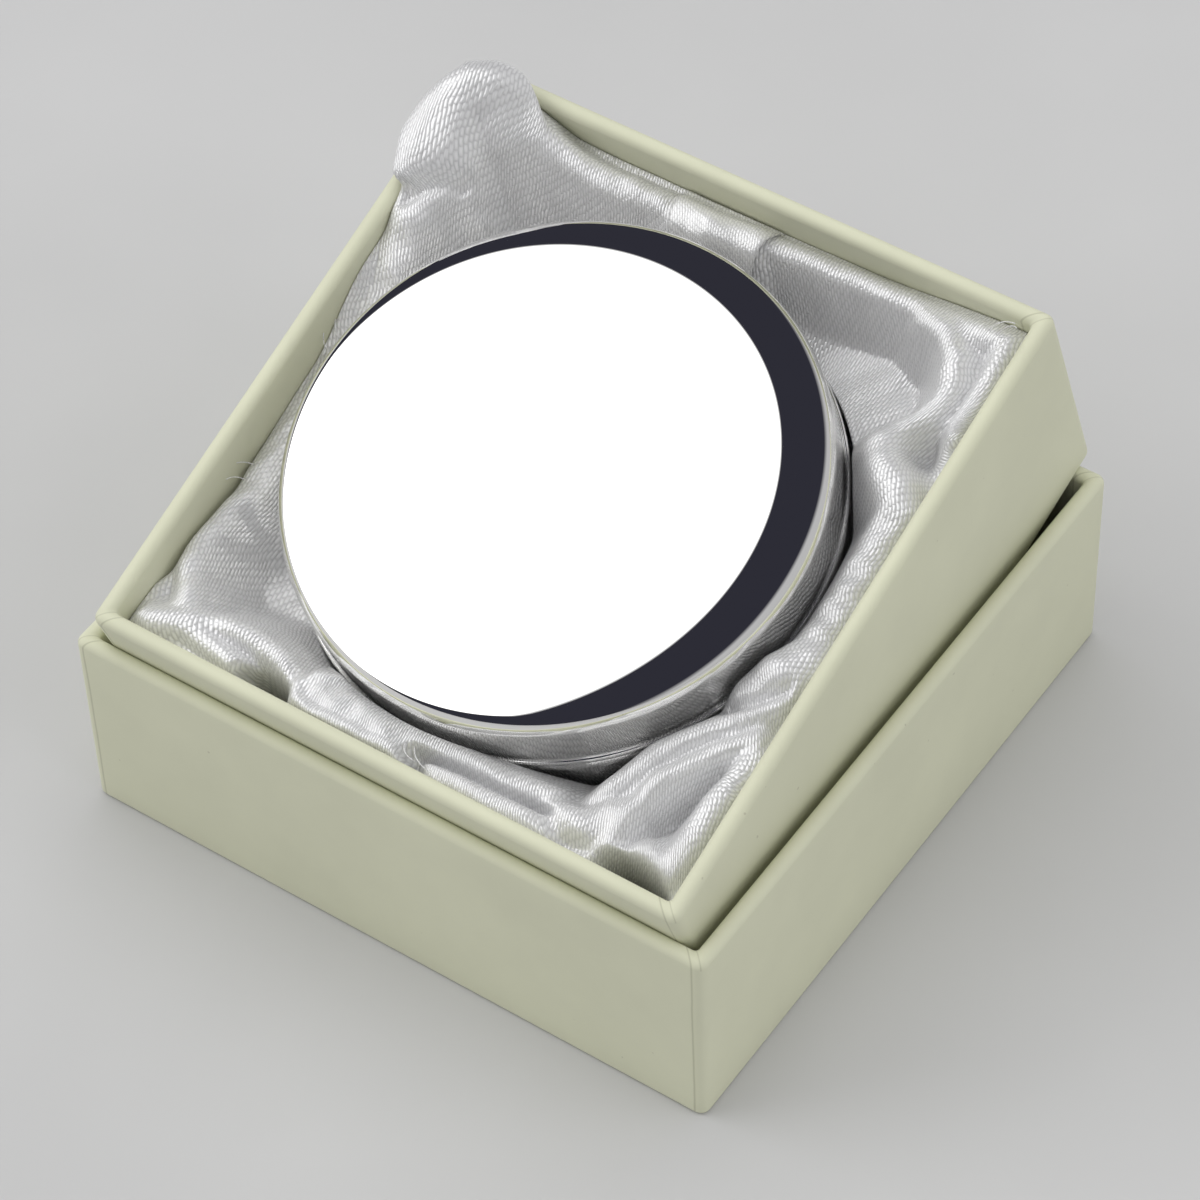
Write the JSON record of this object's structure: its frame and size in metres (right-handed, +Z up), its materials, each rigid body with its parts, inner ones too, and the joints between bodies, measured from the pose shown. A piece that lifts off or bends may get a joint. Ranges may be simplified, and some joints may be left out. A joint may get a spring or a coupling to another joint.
{
  "type": "trinket box in gift case",
  "caption": "Round polished metal trinket box with a slip lid, in a satin-lined square gift tray that stands aslant in its upturned case lid.",
  "frame": {"origin": "centre of the case lid's underside, on the table", "axes": "+Z up, +X along the case lid's front edge, +Y to its back, where the tray stands high"},
  "size_m": [0.082, 0.0834, 0.0586],
  "materials": {
    "greyboard": "raw board",
    "stay_paper": "matt",
    "cream_paper": "matt, slightly greenish cream",
    "wadding": "soft",
    "satin": "satin, silvery white",
    "silver_plate": "mirror polish",
    "felt": "felt"
  },
  "bodies": {
    "case_lid": {"case_lid_board": "greyboard", "case_lid_stays": "stay_paper", "case_lid_wrap": "cream_paper"},
    "tray": {"tray_board": "greyboard", "tray_stays": "stay_paper", "tray_wrap": "cream_paper", "wadding_pad": "wadding", "satin_lining": "satin", "satin_tab": "satin"},
    "trinket_base": {"base_cup": "silver_plate", "base_collar": "silver_plate", "base_felt": "felt"},
    "trinket_lid": {"lid_cap": "silver_plate"}
  },
  "joints": [
    {"name": "tray_lift", "type": "slide", "parent": "case_lid", "child": "tray", "axis": [0, 0, 1], "range_m": [0, 0.06]},
    {"name": "trinket_lift", "type": "slide", "parent": "tray", "child": "trinket_base", "axis": [0, -0.3279, 0.9447], "range_m": [0, 0.05]},
    {"name": "lid_lift", "type": "slide", "parent": "trinket_base", "child": "trinket_lid", "axis": [0, -0.3279, 0.9447], "range_m": [0, 0.045]}
  ]
}
